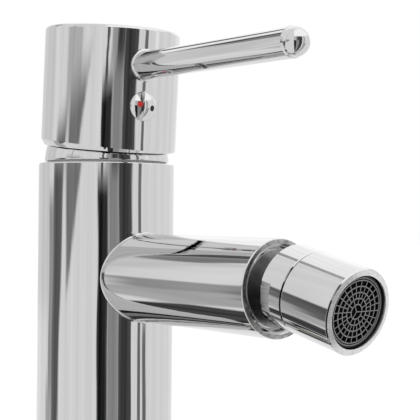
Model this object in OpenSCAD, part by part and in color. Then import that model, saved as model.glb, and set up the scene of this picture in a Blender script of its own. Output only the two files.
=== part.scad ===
// Single-lever bidet mixer with a straight spout and a swivelling aerator.
// Millimetres. The origin is the middle of the foot on the deck, +Z is up and the spout points to -Y.

/* [Column] */
// Height of the column above the deck
body_h = 108; // [100:1:140]
// Wall of the column around the cartridge nut's thread
body_wall = 4.95; // [4:0.05:8]
// Radius of the column's top edge
body_edge = 0.6; // [0.2:0.1:1.5]
// Depth of the hollow in the foot
foot_hollow_h = 40; // [25:1:45]
// Wall of the column around the hollow in the foot
foot_wall = 3.5; // [3:0.1:5]
// Height of the gasket in the foot's groove
gasket_h = 2; // [1:0.1:4]
// Width of the gasket in the foot's groove
gasket_w = 1.6; // [1:0.1:2]

/* [Inlets] */
// Distance of each hose inlet from the middle plane
inlet_x = 8.3; // [7.5:0.1:8.4]
// Place of the hose inlets, behind (+) or ahead of (-) the column's axis
inlet_y = -2.5; // [-5:0.1:0]
// Diameter of the hose inlets' tapped holes
inlet_d = 9; // [7:0.1:11]
// Depth of the hose inlets' tapped holes
inlet_l = 12; // [8:0.5:15]

/* [Fixing kit] */
// Thickness of the deck in the clamp
deck_t = 18; // [5:0.5:40]
// Diameter of the fixing stud
stud_d = 8; // [5:0.5:9]
// Gap between the stud and the wall of the hollow in the foot
stud_gap = 1; // [0.5:0.1:3]
// Length of the stud's thread in the column
stud_grip = 14; // [8:0.5:16]
// Length of the stud below its nut
stud_tail = 12; // [4:1:40]
// Diameter of the clamp's horseshoes
clamp_d = 50; // [46:1:60]
// Width of the clamp's mouth, where the hoses pass
clamp_mouth = 30; // [27:0.5:32]
// Metal between the stud's hole and the clamp's mouth
clamp_web = 1.8; // [1.2:0.1:3]
// Thickness of the rubber horseshoe
clamp_gasket_t = 3; // [1.5:0.1:5]
// Thickness of the steel horseshoe
clamp_plate_t = 2; // [1.5:0.1:4]
// Width across the flats of the fixing nut
clamp_nut_af = 13; // [11:0.5:15]
// Height of the fixing nut
clamp_nut_h = 14; // [6:0.5:25]

/* [Cartridge] */
// Diameter of the cartridge's housing
cart_d = 35; // [34:0.5:40]
// Wall of the cartridge's housing
cart_wall = 2.5; // [1.5:0.1:3]
// Height of the housing's neck above the column
neck_rise = 9; // [6:0.5:10]
// Wall of the housing's neck
neck_wall = 1.8; // [1.2:0.1:2]
// Thickness of the housing's roof at the foot of the neck
roof_t = 2.5; // [1.5:0.1:4]
// Land by which the nut's thread is wider than the housing
nut_land = 1.5; // [1:0.1:3]
// Depth of the nut in the column
nut_depth = 8; // [5:0.5:10]
// Height of the nut's threaded ring above the column
nut_rise = 4.5; // [3:0.1:5]
// Width across the flats of the nut
nut_af = 31; // [30.5:0.1:32]
// Height of the nut's hexagon
nut_hex_h = 3.5; // [2:0.1:4]
// Diameter of the turning sleeve
sleeve_d = 25.3; // [22:0.1:25.5]
// Thickness of the sleeve's flange
flange_t = 2.8; // [2.4:0.1:4]
// Depth of the channel in the flange that guides the carrier
channel_h = 1.8; // [1:0.1:2]
// Width of the carrier's rail
rail_w = 14; // [12:0.5:18]
// Diameter of the carrier
carrier_d = 19; // [17:0.5:20]
// Thickness of the carrier
carrier_t = 4.6; // [4.4:0.1:6]
// Diameter of the moving ceramic disc
moving_disc_d = 22; // [21:0.1:22.4]
// Thickness of the moving ceramic disc
moving_disc_t = 2.8; // [2.2:0.1:4]
// Diameter of the mixing pocket under the moving disc
pocket_d = 11; // [8:0.5:12]
// Depth of the mixing pocket under the moving disc
pocket_h = 1.4; // [0.5:0.1:1.8]
// Diameter of the fixed ceramic disc
fixed_disc_d = 27; // [24:0.5:29]
// Thickness of the fixed ceramic disc
fixed_disc_t = 3.25; // [2:0.05:5]
// Thickness of the base inside the housing
base_spigot_t = 2.75; // [2.5:0.05:4]
// Thickness of the base's flange under the housing
base_flange_t = 2.75; // [2.5:0.05:4]
// Diameter of the water ports
port_d = 5; // [3:0.1:5.5]
// Distance of the hot and cold ports from the middle plane
port_x = 6.5; // [6.2:0.1:7]
// Place of the hot and cold ports along Y
port_y = -2.5; // [-3:0.1:-1.5]
// Place of the mixed-water port along Y
outlet_y = 4.5; // [4:0.1:6]
// Diameter of the way from the mixed-water port to the spout
way_d = 6; // [5.2:0.1:7]
// Height of each port seal
seal_h = 1.2; // [0.8:0.1:1.3]
// Width of each port seal's ring
seal_w = 1.2; // [0.8:0.1:1.3]

/* [Stem] */
// Width of the square stem
stem_w = 8; // [7:0.1:9]
// Length of the stem in the handle's socket
stem_grip = 13; // [10:0.5:15]
// Depth of the stem's square below the pivot
stem_foot = 6; // [4:0.5:7]
// Distance from the pivot to the stem's ball end
stem_arm = 14.6; // [14.4:0.1:15]
// Diameter of the stem's ball end
stem_ball_d = 5.2; // [4.6:0.1:5.4]
// Diameter of the stem's lower arm
stem_arm_d = 3.8; // [3:0.1:4]
// Diameter of the pivot pin
pin_d = 4; // [3:0.1:5]

/* [Cover] */
// Wall of the cover around the nut's thread
dome_wall = 2.95; // [2.5:0.05:5]
// Thickness of the cover's dome
dome_shell = 1.5; // [1:0.1:2]
// Thickness of the seal under the cover
cover_seal_t = 0.6; // [0.4:0.1:1.5]
// Width of the seal under the cover
cover_seal_w = 2.1; // [1:0.1:2.4]

/* [Handle] */
// Turn of the handle about the column at rest
handle_turn = -6.6; // [-45:0.1:45]
// Lean of the closed handle towards its lever
handle_lean = 4; // [0:0.1:5]
// Travel of the handle from closed to open
handle_tilt = 18; // [10:0.5:18]
// Gap between the cap and the cover's dome
cap_gap = 0.3; // [0.3:0.05:2]
// Wall of the cap
cap_wall = 1.5; // [1.2:0.1:3]
// Thickness of the cap's top
cap_roof = 2.5; // [1.5:0.1:5]
// Radius of the cap's top edge
cap_edge = 1.3; // [0.4:0.1:1.4]
// Distance of the cap's axis ahead of the stem's axis
cap_shift = 0.63; // [0:0.01:0.8]
// Height of the cap's lower rim above the pivot, at its middle
skirt_h = 5.66; // [5.2:0.01:8]
// Slope of the cap's lower rim
skirt_slope = 2.5; // [2:0.1:5]
// Chamfer on the cap's lower rim
skirt_chamfer = 0.9; // [0.2:0.1:1.1]
// Height of the hub's foot above the pivot
hub_h = 13; // [12.8:0.1:15]
// Diameter of the hub that holds the stem
hub_d = 17; // [15:0.5:20]
// Height of the set screw's axis above the hub's foot
plug_rise = 7.46; // [7:0.01:9]
// Height of the lever's axis above the set screw's axis
lever_rise = 12.7; // [11.5:0.1:18]
// Height of the cap's top above the lever's axis
cap_rise = 14; // [11:0.1:25]

/* [Lever] */
// Diameter of the lever
lever_d = 9.2; // [8:0.1:10.5]
// Length of the lever's straight rod outside the cap
lever_out = 80.6; // [40:0.1:120]
// Upward pitch of the lever in the handle
lever_pitch = 2.4; // [0:0.1:6]
// Radius of the flare at the lever's root
lever_flare = 1.1; // [0.5:0.1:2]
// Diameter of the lever's threaded spigot
lever_spigot_d = 8; // [5:0.1:8]
// Length of the lever's threaded spigot
lever_spigot_l = 10; // [6:0.5:12]
// Wall of the lever's boss inside the cap
lever_boss_wall = 2.5; // [1.5:0.1:3]
// Depth of the bevel between the rod and its domed end
tip_bevel = 0.35; // [0.1:0.05:0.6]
// Length of that bevel
tip_bevel_l = 0.75; // [0.2:0.05:1.5]

/* [Indicator plug] */
// Diameter of the plug's dome
plug_d = 10; // [9:0.1:11]
// Height of the plug's dome above the cap
plug_dome = 2.2; // [1:0.1:3]
// Diameter of the plug's spigot
plug_spigot_d = 6.8; // [6:0.1:7]
// Length of the plug's spigot
plug_spigot_l = 5; // [3:0.5:7]
// Turn of the plug about its own axis
plug_twist = -14; // [-90:1:90]
// Diameter of the hot and cold dots
dot_d = 2; // [1:0.1:2.6]
// Depth of the hot and cold dots
dot_h = 0.8; // [0.4:0.1:1.2]
// Angle of each dot from the middle of the dome
dot_angle = 21; // [15:1:28]
// Diameter of the set screw
screw_d = 5; // [4:0.1:5.5]
// Length of the set screw
screw_l = 9; // [7.5:0.5:10]
// Wall of the set screw's boss
screw_boss_wall = 1.1; // [0.8:0.1:1.5]
// Width of the set screw's hexagon socket
screw_key = 2.5; // [2:0.1:3]

/* [Spout] */
// Diameter of the aerator's thread in the spout's end
outlet_d = 24; // [22:0.5:26]
// Wall of the spout around that thread
spout_wall = 2.9; // [2.6:0.1:5]
// Reach of the spout from the column's axis
spout_reach = 89.45; // [70:0.05:140]
// Width of the lip at the spout's end
spout_lip = 2.3; // [1.5:0.1:2.4]
// Radius of the spout's end edge
spout_edge = 0.7; // [0.2:0.1:1]
// Wall of the spout along its waterway
spout_tube_wall = 4.9; // [4:0.1:7]
// Diameter of the spout's spigot in the column
spigot_d = 14; // [12:0.1:15]
// Length of the spout's spigot in the column
spigot_l = 10; // [6:0.5:11]
// Diameter of the waterway in the spigot
spigot_bore_d = 9; // [6:0.1:10]
// Metal between the cartridge's seat and the spout's socket
seat_floor = 2.3; // [1.5:0.1:6]
// Thickness of the solid root of the spout
spout_root = 8; // [6:0.5:15]

/* [Ball joint] */
// Diameter of the nipple's ball
ball_d = 19; // [18:0.1:20]
// Distance of the ball's centre beyond the spout's end
ball_out = 10.48; // [10.2:0.01:14]
// Diameter of the nipple's neck
ball_neck_d = 10; // [9:0.1:10.4]
// Diameter of the nipple's waterway
ball_bore_d = 6.4; // [4:0.1:7]
// Depth of the nipple's flange inside the spout's lip
nipple_recess = 1.6; // [0.8:0.1:3]
// Thickness of the nipple's flange
nipple_flange_t = 1.6; // [1.2:0.1:3]
// Chamfer on the nipple's flange
nipple_chamfer = 1; // [0.3:0.1:1.1]
// Length of the nipple's thread
nipple_thread_l = 8; // [5:0.5:12]
// Wall of the nipple around its rear hollow
nipple_wall = 3.5; // [2.5:0.1:4]
// Thickness of the nipple's washer
nipple_washer_t = 1.5; // [1:0.1:3]
// Thickness of the ring that carries the ball from behind
ball_seat_t = 1; // [0.8:0.1:1.5]
// Reach of that ring behind the ball's centre
ball_seat_back = 4; // [2:0.1:4.5]
// Reach of that ring ahead of the ball's centre
ball_seat_front = 0.5; // [0:0.1:0.8]
// Start of the front seat ahead of the ball's centre
front_seat_start = 6; // [5.9:0.1:6.5]
// Length of the front seat
front_seat_l = 4; // [3.8:0.1:5]
// Thickness of the seal ring on the ball
ball_seal_t = 1.6; // [1.2:0.1:1.8]
// Angle of the seal ring ahead of the ball's middle
seal_angle = 50; // [47:1:55]

/* [Aerator] */
// Downward tilt of the aerator at rest
aerator_tilt = 12.8; // [0:0.1:16]
// Wall of the collar around the ball's seat
collar_wall = 1.59; // [1.3:0.01:3]
// Reach of the collar behind the ball's centre
collar_back = 6.3; // [5:0.1:6.5]
// Reach of the collar ahead of the ball's centre, to the seam
collar_front = 2.84; // [1.5:0.01:4]
// Chamfer on the collar's rear edge
collar_chamfer = 0.5; // [0.1:0.05:0.8]
// Depth of the collar's spanner flats
flat_depth = 0.84; // [0.3:0.01:0.9]
// Length of the collar's spanner flats
flat_l = 4.3; // [2:0.1:4.5]
// Turn of the flats about the aerator's axis
flat_twist = 12; // [-90:1:90]
// Length of the collar's threaded spigot in the shell
collar_spigot_l = 5.7; // [4:0.1:7]
// Wall of the collar's threaded spigot
collar_spigot_wall = 1.15; // [0.8:0.05:1.4]
// Length of the shell from the seam to its face
shell_l = 18.45; // [17.5:0.05:26]
// Wall of the shell around its thread
shell_wall = 1.19; // [0.9:0.01:1.4]
// Width of the lip at the shell's face
shell_lip = 1.94; // [1.6:0.01:2.2]
// Radius of the edges at the seam and the face
shell_edge = 0.35; // [0.1:0.05:0.6]
// Thickness of the washer in the shell
washer_t = 1.3; // [0.8:0.1:2]
// Thickness of the basket's flange
basket_flange_t = 1.2; // [0.8:0.1:2]
// Depth of the basket's rim behind the shell's face
basket_recess = 1.1; // [0.5:0.1:1.6]
// Wall of the basket
basket_wall = 1.1; // [0.8:0.05:1.5]
// Wall of the basket around the grid
grid_wall = 0.4; // [0.3:0.05:0.6]
// Thickness of the grid
grid_t = 1.3; // [1:0.1:2]
// Number of the grid's rings round its hub
grid_rings = 4; // [3:1:5]
// Number of the grid's spokes
grid_spokes = 24; // [12:1:36]
// Width of the grid's bars
grid_bar = 0.45; // [0.3:0.05:0.6]
// Width of the grid's outer rim
grid_rim = 0.8; // [0.5:0.1:1.5]
// Diameter of the grid's hub
grid_hub_d = 4.2; // [3:0.1:5]
// Diameter of the hole in the grid's hub
grid_eye_d = 2.2; // [1:0.1:2.4]
// Thickness of the flow regulator
regulator_t = 1.6; // [1:0.1:2.2]
// Number of the flow regulator's holes
regulator_holes = 12; // [6:1:16]
// Diameter of the flow regulator's holes
regulator_hole_d = 1.4; // [0.8:0.1:1.8]
// Number of the screens behind the grid
screen_count = 2; // [1:1:2]
// Thickness of each screen
screen_t = 0.4; // [0.3:0.05:0.5]
// Pitch of the screens
screen_pitch = 1.1; // [0.8:0.1:1.2]

/* [Clearances] */
// Gap around the cartridge's housing, all round
cart_fit = 0.1; // [0.05:0.01:0.2]
// Gap around a screw thread, all round
thread_fit = 0.05; // [0.02:0.01:0.1]
// Running gap of a turning sleeve or pin, all round
bush_fit = 0.05; // [0.02:0.01:0.1]
// Gap of a piece that is pushed into its seat, all round
push_fit = 0.1; // [0.02:0.01:0.2]
// Gap between the nut and the housing's neck
neck_gap = 0.2; // [0.1:0.05:0.4]
// Gap between sliding flats
slide_play = 0.3; // [0.2:0.05:0.4]
// Gap above the sleeve's flange
turn_play = 0.2; // [0.1:0.05:0.4]
// Gap between the ceramic discs
disc_gap = 0.05; // [0.02:0.01:0.1]
// Gap around the stem's ball end
stem_play = 0.35; // [0.25:0.05:0.5]
// Gap between the spheres of the ball joint
ball_fit = 0.15; // [0.1:0.01:0.2]

/* [Hidden] */
$fn = 96;
// Small overrun that takes a cut clear of a face
over = 1;
// Radii that stack outwards from the cartridge
cart_r = cart_d / 2;
chamber_r = cart_r - cart_wall;
sleeve_r = sleeve_d / 2;
neck_bore_r = sleeve_r + bush_fit;
neck_r = neck_bore_r + neck_wall;
nut_r = cart_r + nut_land;
nut_bore_r = neck_r + neck_gap;
thread_bore_r = nut_r + thread_fit;
body_r = thread_bore_r + body_wall;
dome_r = thread_bore_r + dome_wall;
cap_bore_r = dome_r + cap_gap;
cap_r = cap_bore_r + cap_wall;
// Heights below the pivot, which lies at the column's top
roof_low = nut_depth + roof_t;
flange_top = roof_low + turn_play;
flange_low = flange_top + flange_t;
carrier_top = flange_low + slide_play;
carrier_low = carrier_top + carrier_t;
moving_low = carrier_low + moving_disc_t;
fixed_top = moving_low + disc_gap;
fixed_low = fixed_top + fixed_disc_t;
base_step = fixed_low + base_spigot_t;
seat_depth = base_step + base_flange_t;
// Places of the water ports
ports = [[-port_x, port_y], [port_x, port_y], [0, outlet_y]];
port_seal_r = port_d / 2 + seal_w;
// Foot of the column and its fixing kit
foot_r = body_r - foot_wall;
gasket_r = body_r - foot_wall / 2 - gasket_w / 2;
stud_r = stud_d / 2;
stud_y = foot_r - stud_gap - stud_r;
stud_top = foot_hollow_h + stud_grip;
clamp_hole_r = stud_r + push_fit;
clamp_end_y = stud_y - clamp_hole_r - clamp_web;
plate_top = -deck_t - clamp_gasket_t;
nut_top = plate_top - clamp_plate_t;
stud_low = nut_top - clamp_nut_h - stud_tail;
// Spout
outlet_r = outlet_d / 2;
spout_r = outlet_r + spout_wall;
spout_bore_r = spout_r - spout_tube_wall;
spout_z = body_h - seat_depth - seat_floor - spigot_d / 2;
socket_end = body_r - spigot_l;
lip_bore_r = spout_r - spout_lip;
flange_front = spout_reach - nipple_recess;
lip_low = flange_front - nipple_flange_t;
thread_end = lip_low - nipple_thread_l;
thread_low = thread_end - nipple_washer_t;
// Ball joint and aerator, along the aerator's axis from the ball's centre
ball_r = ball_d / 2;
ball_reach = spout_reach + ball_out;
seat_in_r = ball_r + ball_fit;
seat_out_r = seat_in_r + ball_seat_t;
seal_centre_r = seat_in_r + ball_seal_t / 2;
collar_seat_r = seat_out_r + ball_fit;
collar_r = collar_seat_r + collar_wall;
shell_bore_r = collar_r - shell_wall;
lip_mouth_r = collar_r - shell_lip;
collar_spigot_r = shell_bore_r - thread_fit;
front_bore_r = collar_spigot_r - collar_spigot_wall;
collar_end = collar_front + collar_spigot_l;
front_seat_end = front_seat_start + front_seat_l;
washer_start = front_seat_end + bush_fit;
basket_start = washer_start + washer_t;
basket_step = basket_start + basket_flange_t;
shell_end = collar_front + shell_l;
basket_end = shell_end - basket_recess;
basket_r = lip_mouth_r - push_fit * 2;
grid_r = basket_r - grid_wall;
grid_start = basket_end - grid_t;
basket_bore_r = basket_r - basket_wall;
// Handle
plug_h = hub_h + plug_rise;
lever_h = plug_h + lever_rise;
cap_top = lever_h + cap_rise;
lever_r = lever_d / 2;
lever_end = cap_r + lever_out;
lever_boss_r = lever_spigot_d / 2 + lever_boss_wall;
plug_r = plug_d / 2;
plug_sphere_r = (plug_r * plug_r + plug_dome * plug_dome) / (2 * plug_dome);
plug_centre = cap_r + plug_dome - plug_sphere_r;
screw_boss_r = plug_spigot_d / 2 + push_fit + screw_boss_wall;
stem_top = hub_h + stem_grip;
carrier_shift = stem_arm * sin(handle_lean);

// Frames: the column's top, the turned handle, the leaning handle, its cap, the cap's front,
// the spout and the aerator
module at_top() { translate([0, 0, body_h]) children(); }
module at_turn() { at_top() rotate([0, 0, handle_turn]) children(); }
module at_handle() { at_turn() rotate([handle_lean, 0, 0]) children(); }
module at_cap() { at_handle() translate([0, -cap_shift, 0]) children(); }
module on_front(height, pitch = 0) { translate([0, 0, height]) rotate([90 - pitch, 0, 0]) children(); }
module at_spout() { translate([0, 0, spout_z]) rotate([90, 0, 0]) children(); }
module at_aerator() {
  translate([0, -ball_reach, spout_z]) rotate([90 + aerator_tilt, 0, 0]) children();
}

// Tube between two heights
module tube(outer_r, inner_r, low, high) {
  translate([0, 0, low]) difference() {
    cylinder(r = outer_r, h = high - low);
    translate([0, 0, -over]) cylinder(r = inner_r, h = high - low + 2 * over);
  }
}

// Solid cylinder between two heights
module rod(r, low, high) { translate([0, 0, low]) cylinder(r = r, h = high - low); }

// Cylinder between two heights whose upper edge is rounded
module round_top(r, low, high, edge) {
  rotate_extrude() {
    translate([0, low]) square([r, high - low - edge]);
    translate([0, high - edge]) square([r - edge, edge]);
    translate([r - edge, high - edge]) intersection() {
      circle(edge);
      square(edge);
    }
  }
}

// One copy of a shape at each water port
module at_ports() { for (p = ports) translate([p.x, p.y, 0]) children(); }

// Chromed brass column: hollow foot, hose inlets, waterways, spout socket and cartridge chamber
module body_column() color("silver") difference() {
  round_top(body_r, 0, body_h, body_edge);
  rod(foot_r, -over, foot_hollow_h);
  tube(gasket_r + gasket_w, gasket_r, -over, gasket_h);
  translate([0, stud_y, 0]) rod(stud_r, foot_hollow_h - over, stud_top);
  for (side = [-1, 1]) translate([side * inlet_x, inlet_y, 0]) rod(inlet_d / 2, 0, foot_hollow_h + inlet_l);
  at_top() {
    rod(cart_r + cart_fit, -seat_depth, 0);
    rod(thread_bore_r, -nut_depth, over);
    for (side = [-1, 1]) translate([side * port_x, port_y, 0])
      rod(port_d / 2, foot_hollow_h + inlet_l - over - body_h, -seat_depth + over);
    translate([0, outlet_y, 0]) rod(port_d / 2, spout_z - body_h, -seat_depth + over);
  }
  at_spout() {
    rod(spigot_d / 2 + push_fit, socket_end - push_fit, body_r + over);
    rod(way_d / 2, -outlet_y - way_d / 2, socket_end);
  }
}

// Rubber ring in the groove of the foot
module base_gasket() color("dimgray")
  tube(gasket_r + gasket_w - push_fit, gasket_r + push_fit, 0, gasket_h - push_fit);

// Threaded stud that hangs from the column through the deck
module fixing_stud() color("lightgray")
  translate([0, stud_y, 0]) rod(stud_r - thread_fit, stud_low, stud_top - push_fit);

// Horseshoe plate round the hoses, open to the front, with a hole for the stud
module horseshoe(top, thickness) translate([0, 0, top - thickness]) linear_extrude(thickness) difference() {
  circle(clamp_d / 2);
  mouth_r = clamp_mouth / 2;
  translate([0, clamp_end_y - mouth_r]) circle(mouth_r);
  translate([-mouth_r, -clamp_d]) square([clamp_mouth, clamp_d + clamp_end_y - mouth_r]);
  translate([0, stud_y]) circle(clamp_hole_r);
}

module clamp_gasket() color("dimgray") horseshoe(-deck_t, clamp_gasket_t);
module clamp_plate() color("gainsboro") horseshoe(plate_top, clamp_plate_t);

// Long hexagon nut under the clamp
module clamp_nut() color("goldenrod") translate([0, stud_y, nut_top - clamp_nut_h]) difference() {
  cylinder(d = clamp_nut_af / cos(30), h = clamp_nut_h, $fn = 6);
  translate([0, 0, -over]) cylinder(r = stud_r, h = clamp_nut_h + 2 * over);
}

// Plastic housing of the cartridge: chamber, roof and neck
module cartridge_housing() color("whitesmoke") at_top() difference() {
  union() {
    rod(cart_r, -base_step, -nut_depth);
    rod(neck_r, -nut_depth, neck_rise);
  }
  rod(chamber_r, -base_step - over, -roof_low);
  rod(neck_bore_r, -roof_low - over, neck_rise + over);
}

// Plastic base that closes the housing and holds the port seals on both sides
module cartridge_base() color("lightslategray") at_top() difference() {
  union() {
    rod(cart_r, -seat_depth, -base_step);
    rod(chamber_r - push_fit, -base_step, -fixed_low);
  }
  at_ports() {
    rod(port_d / 2, -seat_depth - over, -fixed_low + over);
    rod(port_seal_r + push_fit, -seat_depth - over, -seat_depth + seal_h);
    rod(port_seal_r + push_fit, -fixed_low - seal_h, -fixed_low + over);
  }
}

module port_seals() color("black") at_top() at_ports()
  tube(port_seal_r, port_d / 2, -seat_depth, -seat_depth + seal_h);

module disc_seals() color("black") at_top() at_ports()
  tube(port_seal_r, port_d / 2, -fixed_low - seal_h, -fixed_low);

// Ceramic disc that stays still, with three ports
module fixed_disc() color("white") at_top() difference() {
  rod(fixed_disc_d / 2, -fixed_low, -fixed_top);
  at_ports() rod(port_d / 2, -fixed_low - over, -fixed_top + over);
}

// Brass ring nut that clamps the cartridge and carries the cover
module cartridge_nut() color("goldenrod") at_top() difference() {
  union() {
    rod(nut_r, -nut_depth, nut_rise);
    translate([0, 0, nut_rise]) cylinder(d = nut_af / cos(30), h = nut_hex_h, $fn = 6);
  }
  rod(nut_bore_r, -nut_depth - over, nut_rise + nut_hex_h + over);
}

// Rubber ring between the column and the cover
module cover_seal() color("black") at_top()
  tube(thread_bore_r + cover_seal_w, thread_bore_r, 0, cover_seal_t);

// Chromed cover: a ball zone screwed on the nut, under the handle
module dome_cover() color("silver") at_top() rotate_extrude() difference() {
  intersection() {
    circle(dome_r);
    translate([0, cover_seal_t]) square([dome_r, hub_h - cover_seal_t]);
  }
  square([thread_bore_r, nut_rise + slide_play]);
  translate([0, nut_rise]) intersection() {
    translate([0, -nut_rise]) circle(dome_r - dome_shell);
    square([dome_r, dome_r]);
  }
}

// Brass tube of the spout, coped to the column, with a spigot and a threaded end
module spout_tube() color("silver") difference() {
  union() {
    difference() {
      at_spout() round_top(spout_r, 0, spout_reach, spout_edge);
      rod(body_r, 0, body_h);
    }
    at_spout() rod(spigot_d / 2, socket_end, body_r + over);
  }
  at_spout() {
    rod(spigot_bore_d / 2, socket_end - over, body_r + spout_root + over);
    rod(spout_bore_r, body_r + spout_root, thread_low + over);
    rod(outlet_r, thread_low, lip_low + over);
    rod(lip_bore_r, lip_low, spout_reach + over);
  }
}

// Threaded nipple with the ball on which the aerator swivels
module ball_nipple() color("silver") difference() {
  at_spout() union() {
    rod(outlet_r - thread_fit, thread_end, lip_low);
    rod(lip_bore_r - push_fit, lip_low, flange_front - nipple_chamfer);
    translate([0, 0, flange_front - nipple_chamfer])
      cylinder(r1 = lip_bore_r - push_fit, r2 = lip_bore_r - push_fit - nipple_chamfer, h = nipple_chamfer);
    rod(ball_neck_d / 2, lip_low, ball_reach);
    translate([0, 0, ball_reach]) sphere(ball_r);
  }
  at_spout() {
    rod(outlet_r - nipple_wall, thread_end - over, lip_low - nipple_wall);
    rod(ball_bore_d / 2, thread_end, ball_reach + ball_r + over);
  }
}

// Rubber washer behind the nipple's thread
module nipple_washer() color("black") at_spout()
  tube(outlet_r - push_fit, outlet_r - nipple_wall, thread_low, thread_end);

// Sleeve that turns in the housing's neck, slotted for the stem and channelled for the carrier
module turn_sleeve() color("gray") at_turn() difference() {
  union() {
    rod(sleeve_r, -flange_low, neck_rise - bush_fit);
    rod(chamber_r - slide_play, -flange_low, -flange_top);
  }
  slot_w = stem_w + 2 * slide_play;
  slot_l = stem_w + 2 * (neck_rise * tan(handle_tilt - handle_lean) + 2 * slide_play);
  translate([-slot_w / 2, -slot_l / 2, -flange_low - over])
    cube([slot_w, slot_l, flange_low + neck_rise + 2 * over]);
  channel_w = rail_w + 2 * slide_play;
  translate([-channel_w / 2, -cart_d, -flange_low - over]) cube([channel_w, 2 * cart_d, channel_h + over]);
  rotate([0, 90, 0]) rod(pin_d / 2, -cart_d, cart_d);
}

// Steel pin in the sleeve, on which the stem rocks
module pivot_pin() color("lightgray") at_turn() rotate([0, 90, 0])
  rod(pin_d / 2 - thread_fit / 2, -sleeve_r + slide_play, sleeve_r - slide_play);

// Slide that the stem pushes, with a rail in the sleeve's channel
module disc_carrier() color("gainsboro") at_turn() translate([0, carrier_shift, 0]) difference() {
  rail_h = channel_h - slide_play;
  union() {
    rod(carrier_d / 2, -carrier_low, -carrier_top);
    translate([-rail_w / 2, -carrier_d / 4, -carrier_top]) cube([rail_w, carrier_d / 2, rail_h]);
  }
  rod(stem_ball_d / 2 + stem_play, -carrier_low + 2 * slide_play, -carrier_top + rail_h + over);
}

// Ceramic disc that slides on the fixed one, with a mixing pocket below
module moving_disc() color("white") at_turn() translate([0, carrier_shift, 0]) difference() {
  rod(moving_disc_d / 2, -moving_low, -carrier_low);
  translate([0, -port_y, 0]) rod(pocket_d / 2, -moving_low - over, -moving_low + pocket_h);
}

// Square brass stem that rocks on the pin, with a ball end in the carrier
module control_stem() color("goldenrod") at_handle() difference() {
  union() {
    translate([-stem_w / 2, -stem_w / 2, -stem_foot]) cube([stem_w, stem_w, stem_foot + stem_top]);
    rod(stem_arm_d / 2, -stem_arm, -stem_foot + over);
    translate([0, 0, -stem_arm]) sphere(d = stem_ball_d);
  }
  rotate([0, 90, 0]) rod(pin_d / 2 + thread_fit / 2, -stem_w, stem_w);
}

// Plane of the cap's sloped lower rim
module at_skirt() { translate([0, 0, skirt_h]) rotate([skirt_slope, 0, 0]) children(); }

// Chromed handle cap: a cup with a hub for the stem and bosses for the lever and the set screw
module handle_cap() color("silver") at_cap() difference() {
  union() {
    difference() {
      round_top(cap_r, 0, cap_top, cap_edge);
      rod(cap_bore_r, -over, cap_top - cap_roof);
    }
    intersection() {
      union() {
        translate([0, cap_shift, 0]) rod(hub_d / 2, hub_h, cap_top - cap_roof + over);
        on_front(lever_h, lever_pitch) rod(lever_boss_r, 0, cap_r);
        on_front(plug_h) rod(screw_boss_r, 0, cap_r);
      }
      rod(cap_bore_r + cap_wall / 2, 0, cap_top);
    }
  }
  at_skirt() {
    translate([0, 0, -cap_r]) cube([3 * cap_r, 3 * cap_r, 2 * cap_r], center = true);
    difference() {
      rod(2 * cap_r, -over, 2 * skirt_chamfer);
      cylinder(r1 = cap_r - skirt_chamfer, r2 = cap_r + skirt_chamfer, h = 2 * skirt_chamfer);
    }
  }
  socket_w = stem_w + 2 * push_fit;
  translate([-socket_w / 2, cap_shift - socket_w / 2, 0]) cube([socket_w, socket_w, stem_top + push_fit]);
  on_front(lever_h, lever_pitch)
    rod(lever_spigot_d / 2, cap_r - lever_spigot_l - push_fit, cap_r + over);
  on_front(plug_h) {
    rod(screw_d / 2, 0, cap_r);
    rod(plug_spigot_d / 2 + push_fit, cap_r - plug_spigot_l - push_fit, cap_r + over);
  }
}

// Chromed pin lever: threaded spigot, flared root, straight rod and domed end
module lever_rod() color("silver") at_cap() on_front(lever_h, lever_pitch) {
  difference() {
    union() {
      rod(lever_r, 0, lever_end);
      translate([0, 0, lever_end]) cylinder(r1 = lever_r, r2 = lever_r - tip_bevel, h = tip_bevel_l);
      translate([0, 0, lever_end + tip_bevel_l]) sphere(lever_r - tip_bevel);
      rotate_extrude() difference() {
        square([lever_r + lever_flare, cap_r + lever_flare]);
        translate([lever_r + lever_flare, cap_r + lever_flare]) circle(lever_flare);
      }
    }
    rotate([lever_pitch - 90, 0, 0]) rod(cap_r, -cap_top, cap_top);
  }
  rod(lever_spigot_d / 2 - thread_fit, cap_r - lever_spigot_l, cap_r + lever_flare);
}

// Hexagon-socket set screw that holds the cap on the stem
module grub_screw() color("dimgray") at_cap() on_front(plug_h) difference() {
  screw_start = stem_w / 2 - cap_shift;
  rod(screw_d / 2 - thread_fit, screw_start, screw_start + screw_l);
  translate([0, 0, screw_start + screw_l / 2]) cylinder(d = screw_key / cos(30), h = screw_l, $fn = 6);
}

// Frame of a dot on the plug's dome, on one side of its middle
module at_dot(side) {
  rotate([0, 0, plug_twist]) translate([0, 0, plug_centre]) rotate([0, side * dot_angle, 0]) children();
}

// Domed chrome plug over the set screw, with pockets for its two dots
module indicator_plug() color("silver") at_cap() on_front(plug_h) {
  difference() {
    intersection() {
      translate([0, 0, plug_centre]) sphere(plug_sphere_r);
      rod(plug_r, 0, cap_r + 2 * plug_dome);
    }
    rotate([-90, 0, 0]) rod(cap_r, -cap_top, cap_top);
    for (side = [-1, 1]) at_dot(side) rod(dot_d / 2, plug_sphere_r - dot_h, plug_sphere_r + over);
  }
  rod(plug_spigot_d / 2, cap_r - plug_spigot_l, cap_r + plug_dome / 4);
}

// Enamel dot, flush with the plug's dome
module dot(side) at_cap() on_front(plug_h) intersection() {
  at_dot(side) rod(dot_d / 2 - thread_fit, plug_sphere_r - dot_h, plug_sphere_r + over);
  translate([0, 0, plug_centre]) sphere(plug_sphere_r);
}

module hot_dot() color("firebrick") dot(-1);
module cold_dot() color("midnightblue") dot(1);

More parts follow.
